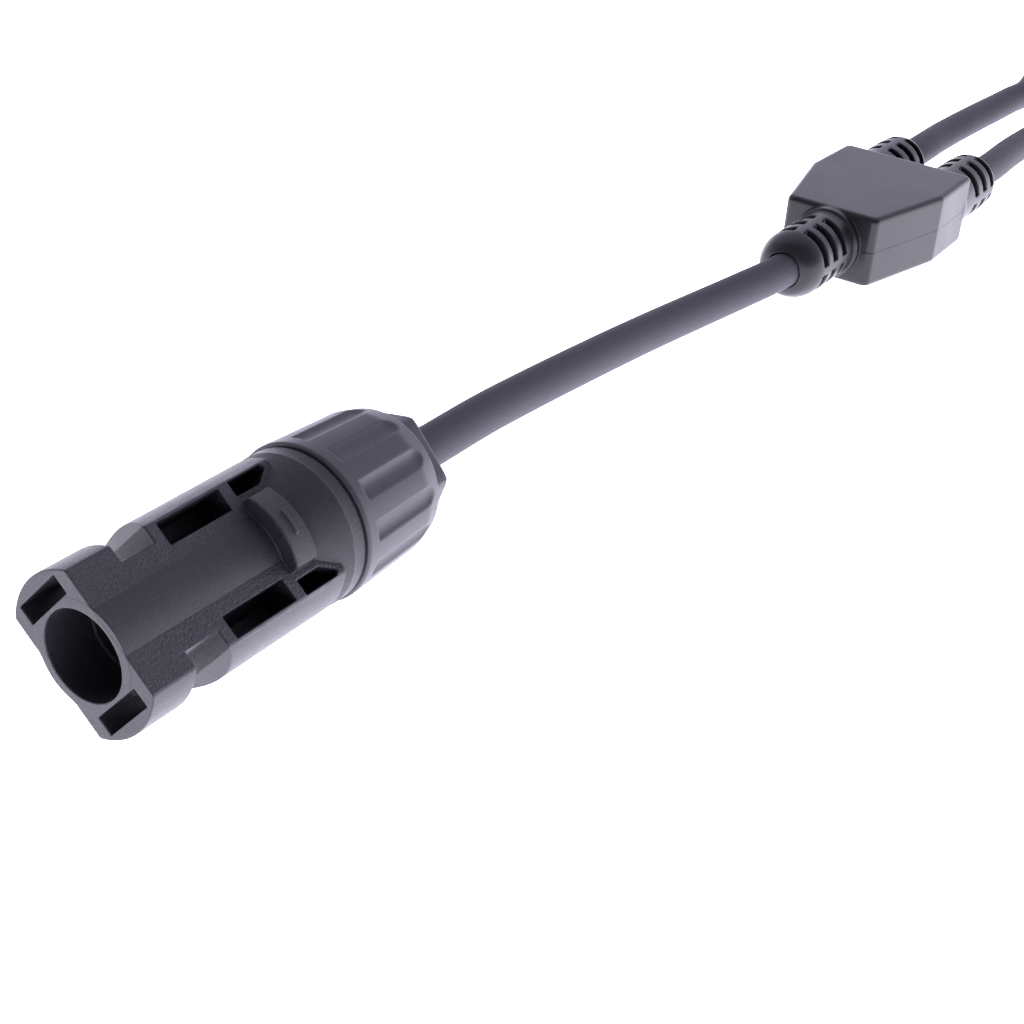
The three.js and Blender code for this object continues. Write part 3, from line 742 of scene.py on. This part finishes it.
def latch_arm_shape(side):
    """One latch arm: a spring tongue with a barb near its tip and three grip ridges at its root."""
    def shape(x, y, z):
        out = y * side
        tongue = both(between(x, ARM["tip"], ARM["root"]), between(out, ARM["inner"], ARM["outer"]), edge=0.5)
        barb = outline(x, out, [
            (BARB["start"], ARM["outer"] - 0.6), (BARB["start"], ARM["outer"]), (BARB["top"], BARB["outer"]),
            (BARB["end"], BARB["outer"]), (BARB["end"], ARM["outer"] - 0.6),
        ], edge=0.25)
        barb = both(barb, ARM["inner"] + 0.3 - out)
        pad = both(between(x, 3.6, ARM["root"]), between(out, ARM["inner"], ARM["outer"] + 0.75), edge=0.6)
        ridges = [both(between(x, at - 0.3, at + 0.3),
                       between(out, ARM["outer"], ARM["outer"] + 1.0), edge=0.3)
                  for at in (4.9, 6.2, 7.5)]
        return both(either(tongue, barb, pad, *ridges, edge=0.3), np.abs(z) - ARM["half"], edge=0.35)
    return shape


CONTACT = {"tip": -18.6, "depth": -5.0, "radius": 2.75, "bore": 2.1, "slit": 0.5, "crimp_end": 21.2}


def socket_contact_shape():
    def shape(x, y, z):
        rho = np.hypot(y, z)
        barrel = both(between(x, CONTACT["tip"], CONTACT["depth"] + 2), rho - CONTACT["radius"], edge=0.35)
        stem = both(between(x, -4, CONTACT["crimp_end"]), rho - 2.35, edge=0.2)
        flange = both(between(x, 10.7, 11.7), rho - 3.3, edge=0.2)
        bore = both(between(x, CONTACT["tip"] - 1, CONTACT["depth"]), rho - CONTACT["bore"], edge=0.2)
        crimp = both(between(x, 14.2, CONTACT["crimp_end"] + 1), rho - 1.65, edge=0.2)
        slits = [both(np.abs(w) - CONTACT["slit"] / 2, x - CONTACT["depth"] + 3, edge=0.1) for w in (y, z)]
        return without(either(barrel, stem, flange, edge=0.15), bore, crimp, *slits, edge=0.12)
    return shape


def nose_ring_shape(x, y, z):
    return np.hypot(x - NOSE["ring_at"], np.hypot(y, z) - 4.72) - 0.5


def make_socket_couplers():
    looks = finishes()
    end = SOCKET_RIM + THREAD["neck_end"]
    housing = mesh_of(
        "socket_housing", socket_housing_shape(), (-NOSE["length"], -9.8, -9.8), (end, 9.8, 9.8), 0.25, 0.5,
        flats_grain(SOCKET_BODY["flat"]))
    contact = mesh_of(
        "socket_contact", socket_contact_shape(), (CONTACT["tip"], -3.4, -3.4), (21.5, 3.4, 3.4), 0.16)
    ring_low, ring_high = (NOSE["ring_at"] - 0.6, -5.3, -5.3), (NOSE["ring_at"] + 0.6, 5.3, 5.3)
    ring = mesh_of("nose_ring", nose_ring_shape, ring_low, ring_high, 0.15)
    arms = {}
    for name, side in (("left", -1), ("right", 1)):
        low, high = sorted((side * 6, side * 9.4))
        arms[name] = mesh_of(
            f"latch_arm_{name}", latch_arm_shape(side), (ARM["tip"], low, -3.6),
            (ARM["root"], high, 3.6), 0.15, 0.4)
    for letter in SOCKET_LETTERS:
        owner, place = f"socket_{letter}", socket_place(letter)
        plastic = looks["housing_plastic"]
        place_piece(
            f"{owner}_housing_moulded", housing, place, "root", plastic, [f"{owner}_housing"])
        place_piece(
            f"{owner}_contact_turned", contact, place, "root", looks["tinned_copper"],
            [f"{owner}_contact"])
        place_piece(
            f"{owner}_nose_ring", ring, place, "root", looks["seal_rubber"], [f"{owner}_nose_o_ring"])
        for name, mesh in arms.items():
            place_piece(
                f"{owner}_arm_{name}_moulded", mesh, place, f"{owner}_arm_{name}", plastic,
                [f"{owner}_latch_arm_{name}"])


# ---- contact of the pin coupler ----
def pin_contact_shape(x, y, z):
    rho = np.hypot(y, z)
    rod = outline(x, rho, [(6.5, 0), (6.5, 0.8), (7.5, 1.75), (8.6, 2), (22, 2), (22, 0)], edge=0.35)
    stem = both(between(x, 20.3, 36), rho - 2.35, edge=0.2)
    flange = both(between(x, 25.5, 26.5), rho - 3.3, edge=0.2)
    crimp = both(between(x, 29, 37), rho - 1.65, edge=0.2)
    return without(either(rod, stem, flange, edge=0.2), crimp, edge=0.15)


def make_pin_contact():
    mesh = mesh_of("pin_contact_turned", pin_contact_shape, (6.5, -3.4, -3.4), (36, 3.4, 3.4), 0.16)
    place_piece(
        "pin_contact_turned", mesh, pin_place(), "root", finishes()["tinned_copper"],
        ["pin_contact"])


# ---- Y moulding; x counted from the slab's front face ----
SLAB = {
    "length": 31.8, "shoulder": 18.3, "front_half": 8.0, "wide_half": 12.1, "rear_half": 11.8, "spread": 6.7,
}
ROOT_RING = {"start": -1.1, "end": 1, "radius": 5.9}
POCKET = {"start": 9, "end": 25.5, "half": 9.3, "height": 2.3}
HOLES = {"trunk_end": 10, "branch_start": 24.5, "clearance": 0.08}
PARTING_LINE = {"height": 0.03, "half": 0.12}
TRUNK_RELIEF = {"radius": 5.5, "floor": 3.9, "length": 14, "cap_end": 16.5, "cap_radius": 3.6,
                "slots": (4.7, 8.1, 11.5)}
BRANCH_RELIEF = {"radius": 5.05, "floor": 3.7, "length": 14.3, "cap_end": 15.5, "cap_radius": 3.9,
                 "slots": (5.2, 8.9, 12.5)}


def relief_shape(along, y, z, relief, size):
    """A strain relief: a round boot with rings of slots and webs between them."""
    rho = np.hypot(y, z)
    boot = outline(along, rho, [
        (-2, 0), (-2, relief["radius"]), (relief["length"], relief["radius"]),
        (relief["cap_end"], relief["cap_radius"]), (relief["cap_end"], 0),
    ], edge=1.3)
    web = np.minimum(np.abs(y), np.abs(z)) - size.web_width / 2
    half = size.slot_width / 2
    rings = [both(between(along, at - half, at + half), relief["floor"] - rho, -web, edge=0.35)
             for at in relief["slots"]]
    return without(boot, *rings, edge=0.3)


def y_moulding_shape():
    size = in_millimetres(bpy.context.scene.lead_moulding)
    hole = bpy.context.scene.lead_cables.diameter / MM / 2 + HOLES["clearance"]

    def shape(x, y, z):
        side = np.abs(y)
        flanks = outline(x, side, [
            (0, SLAB["front_half"]), (SLAB["shoulder"], SLAB["wide_half"]),
            (SLAB["length"], SLAB["rear_half"]),
        ], edge=0.08)
        plan = both(flanks, between(x, 0, SLAB["length"]), edge=size.slab_edge)
        parting = PARTING_LINE["height"] * np.clip(1 - np.abs(z) / PARTING_LINE["half"], 0, 1)
        slab = both(plan - parting, np.abs(z) - size.half_height, edge=size.slab_edge)
        trunk = relief_shape(-x, y, z, TRUNK_RELIEF, size)
        root_ring = both(
            between(x, ROOT_RING["start"], ROOT_RING["end"]), np.hypot(y, z) - ROOT_RING["radius"], edge=0.3)
        branch = relief_shape(x - SLAB["length"], side - SLAB["spread"], z, BRANCH_RELIEF, size)
        trunk_hole = both(x - HOLES["trunk_end"], np.hypot(y, z) - hole, edge=0.2)
        branch_hole = both(
            HOLES["branch_start"] - x, np.hypot(side - SLAB["spread"], z) - hole, edge=0.2)
        pocket = both(
            between(x, POCKET["start"], POCKET["end"]), side - POCKET["half"],
            np.abs(z) - POCKET["height"], edge=0.5)
        solid = either(either(slab, root_ring, edge=0.15), trunk, branch, edge=0.5)
        return without(solid, trunk_hole, branch_hole, pocket, edge=0.25)

    return shape


def make_moulding():
    low = (-TRUNK_RELIEF["cap_end"], -12.4, -6.1)
    high = (SLAB["length"] + BRANCH_RELIEF["cap_end"], 12.4, 6.1)
    mesh = mesh_of("y_moulding_body", y_moulding_shape(), low, high, 0.22, 0.4)
    return place_piece(
        "y_moulding_body", mesh, moulding_place(), "root", finishes()["moulding_plastic"],
        ["y_moulding"])


# ---- cables ----
def catmull_rom(route, steps):
    """Points of the centripetal Catmull-Rom curve through the route."""
    knots = [Vector(p) for p in route]
    ends = [2 * knots[0] - knots[1], *knots, 2 * knots[-1] - knots[-2]]
    points = []
    for before, start, end, after in zip(ends, ends[1:], ends[2:], ends[3:]):
        times = [0.0]
        for first, second in ((before, start), (start, end), (end, after)):
            times.append(times[-1] + (second - first).length ** 0.5)
        t0, t1, t2, t3 = times
        for step in range(steps):
            t = t1 + (t2 - t1) * step / steps
            a1 = before.lerp(start, (t - t0) / (t1 - t0))
            a2 = start.lerp(end, (t - t1) / (t2 - t1))
            a3 = end.lerp(after, (t - t2) / (t3 - t2))
            b1 = a1.lerp(a2, (t - t0) / (t2 - t0))
            b2 = a2.lerp(a3, (t - t1) / (t3 - t1))
            points.append(b1.lerp(b2, (t - t1) / (t2 - t1)))
    return points + [knots[-1]]


def route_length(points):
    return sum((b - a).length for a, b in zip(points, points[1:]))


def cable_curve(name, route, diameter):
    points = [p * MM for p in catmull_rom(route, 10)]
    curve = bpy.data.curves.new(name, "CURVE")
    curve.dimensions = "3D"
    curve.bevel_depth = diameter / 2
    curve.bevel_resolution = 10
    curve.use_fill_caps = True
    spline = curve.splines.new("POLY")
    spline.points.add(len(points) - 1)
    for knot, point in zip(spline.points, points):
        knot.co = (*point, 1)
    spline.use_smooth = True
    piece = bpy.data.objects.new(name, curve)
    bpy.context.scene.collection.objects.link(piece)
    curve.materials.append(finishes()["cable_jacket"])
    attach(piece, "root")
    return piece, route_length(points)


def make_cables():
    diameter = bpy.context.scene.lead_cables.diameter
    trunk, trunk_length = cable_curve("trunk_cable", TRUNK_ROUTE, diameter)
    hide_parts("trunk_cable_jacket")
    for letter in SOCKET_LETTERS:
        route = BRANCH_ROUTES[letter]
        branch, branch_length = cable_curve(f"branch_{letter}_cable", route, diameter)
        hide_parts(f"branch_{letter}_cable_jacket")


# ---- CAD pieces that keep their shape ----
KEPT_FINISHES = {
    "gland_seal": "seal_rubber", "clamping_collet": "collet_plastic", "contact_clip": "spring_steel",
    "conductor": "copper_strands", "splice_sleeve": "tinned_copper",
}


def finish_inner_pieces():
    looks = finishes()
    for name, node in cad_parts.items():
        for ending, material in KEPT_FINISHES.items():
            if name.endswith(ending):
                node.data.materials.clear()
                node.data.materials.append(looks[material])


# ---- stage ----
TABLE_HALF = 3.0
TABLE_GAP = 0.0002
TENT_OPENS = (0.83, 0.55, 0.0)       # the tent is bright on the side away from the camera


def make_stage():
    stage = bpy.context.scene.lead_stage
    camera = bpy.data.objects.new("camera", bpy.data.cameras.new("camera"))
    bpy.context.scene.collection.objects.link(camera)
    camera.data.lens = stage.lens
    camera.data.clip_start = 0.005
    camera.location = stage.camera_place
    ahead = Vector((
        math.cos(stage.tilt) * math.cos(stage.heading), math.cos(stage.tilt) * math.sin(stage.heading),
        -math.sin(stage.tilt)))
    camera.rotation_euler = ahead.to_track_quat("-Z", "Y").to_euler()
    bpy.context.scene.camera = camera
    bpy.context.scene.view_settings.view_transform = "Standard"

    mesh = bpy.data.meshes.new("light_table")
    corners = [(side * TABLE_HALF, up * TABLE_HALF, 0) for side, up in ((-1, -1), (1, -1), (1, 1), (-1, 1))]
    mesh.from_pydata(corners, [], [(0, 1, 2, 3)])
    table = bpy.data.objects.new("light_table", mesh)
    table.location.z = CAD_BOX[0].z - TABLE_GAP
    bpy.context.scene.collection.objects.link(table)
    glow = bpy.data.materials.new("light_table")
    s = Shader(glow)
    s.node_output(s.node(
        "ShaderNodeEmission", {}, {"Color": (*stage.table_tint, 1), "Strength": stage.table_glow}))
    mesh.materials.append(glow)

    world = bpy.data.worlds.new("light_tent")
    bpy.context.scene.world = world
    s = Shader(world)
    place = s.node("ShaderNodeTexCoord", output="Generated")
    height = s.node("ShaderNodeSeparateXYZ", {}, {"Vector": place}, output="Z")
    facing = s.node(
        "ShaderNodeVectorMath", {"operation": "DOT_PRODUCT"}, {0: place, 1: TENT_OPENS}, output="Value")
    beyond = s.smooth_step(facing, -0.35, 0.4)
    low = s.smooth_step(height, 0.4, 0.0)
    strength = beyond * (low * 1.6 + 0.85) + stage.sky_glow
    s.node_output(
        s.node("ShaderNodeBackground", {}, {"Color": (*stage.sky_tint, 1), "Strength": strength}),
        "ShaderNodeOutputWorld")


# ---- operators and panel ----
class LEAD_OT_stage(bpy.types.Operator):
    """Set up the camera, the light table and the tent"""

    bl_idname = "lead.stage"
    bl_label = "Stage"

    def execute(self, context):
        make_stage()
        return {"FINISHED"}


class LEAD_OT_moulding(bpy.types.Operator):
    """Build the Y moulding with its three strain reliefs"""

    bl_idname = "lead.moulding"
    bl_label = "Y Moulding"

    def execute(self, context):
        make_moulding()
        return {"FINISHED"}


class LEAD_OT_pin_coupler(bpy.types.Operator):
    """Build the pin coupler's housing and contact"""

    bl_idname = "lead.pin_coupler"
    bl_label = "Pin Coupler"

    def execute(self, context):
        make_pin_housing()
        make_pin_contact()
        return {"FINISHED"}


class LEAD_OT_nuts(bpy.types.Operator):
    """Build the three gland nuts"""

    bl_idname = "lead.nuts"
    bl_label = "Gland Nuts"

    def execute(self, context):
        make_gland_nuts()
        return {"FINISHED"}


class LEAD_OT_socket_couplers(bpy.types.Operator):
    """Build the two socket couplers with their latch arms, rings and contacts"""

    bl_idname = "lead.socket_couplers"
    bl_label = "Socket Couplers"

    def execute(self, context):
        make_socket_couplers()
        return {"FINISHED"}


class LEAD_OT_cables(bpy.types.Operator):
    """Lay the trunk and branch cables"""

    bl_idname = "lead.cables"
    bl_label = "Cables"

    def execute(self, context):
        make_cables()
        return {"FINISHED"}


class LEAD_OT_inner_pieces(bpy.types.Operator):
    """Finish the seals, collets, clips, conductors and the splice"""

    bl_idname = "lead.inner_pieces"
    bl_label = "Inner Pieces"

    def execute(self, context):
        finish_inner_pieces()
        return {"FINISHED"}


OPERATORS = (
    LEAD_OT_stage, LEAD_OT_moulding, LEAD_OT_nuts, LEAD_OT_socket_couplers, LEAD_OT_cables,
    LEAD_OT_pin_coupler,
    LEAD_OT_inner_pieces,
)


class LEAD_PT_panel(bpy.types.Panel):
    """Pieces and sizes of the lead"""

    bl_idname = "LEAD_PT_panel"
    bl_label = "Solar Y Branch Lead"
    bl_space_type = "VIEW_3D"
    bl_region_type = "UI"
    bl_category = "Solar Lead"

    def draw(self, context):
        for operator in OPERATORS:
            self.layout.operator(operator.bl_idname)
        for name, group in SETTINGS.items():
            box = self.layout.box()
            box.label(text=group.__doc__)
            for field in group.__annotations__:
                box.prop(getattr(context.scene, name), field)


CLASSES = (*SETTINGS.values(), *OPERATORS, LEAD_PT_panel)


def register():
    for entry in CLASSES:
        bpy.utils.register_class(entry)
    for name, group in SETTINGS.items():
        setattr(bpy.types.Scene, name, PointerProperty(type=group))


def unregister():
    for name in SETTINGS:
        delattr(bpy.types.Scene, name)
    for entry in reversed(CLASSES):
        bpy.utils.unregister_class(entry)


def main():
    register()
    for operator in OPERATORS:
        getattr(bpy.ops.lead, operator.bl_idname.split(".")[1])()


if __name__ == "__main__":
    main()
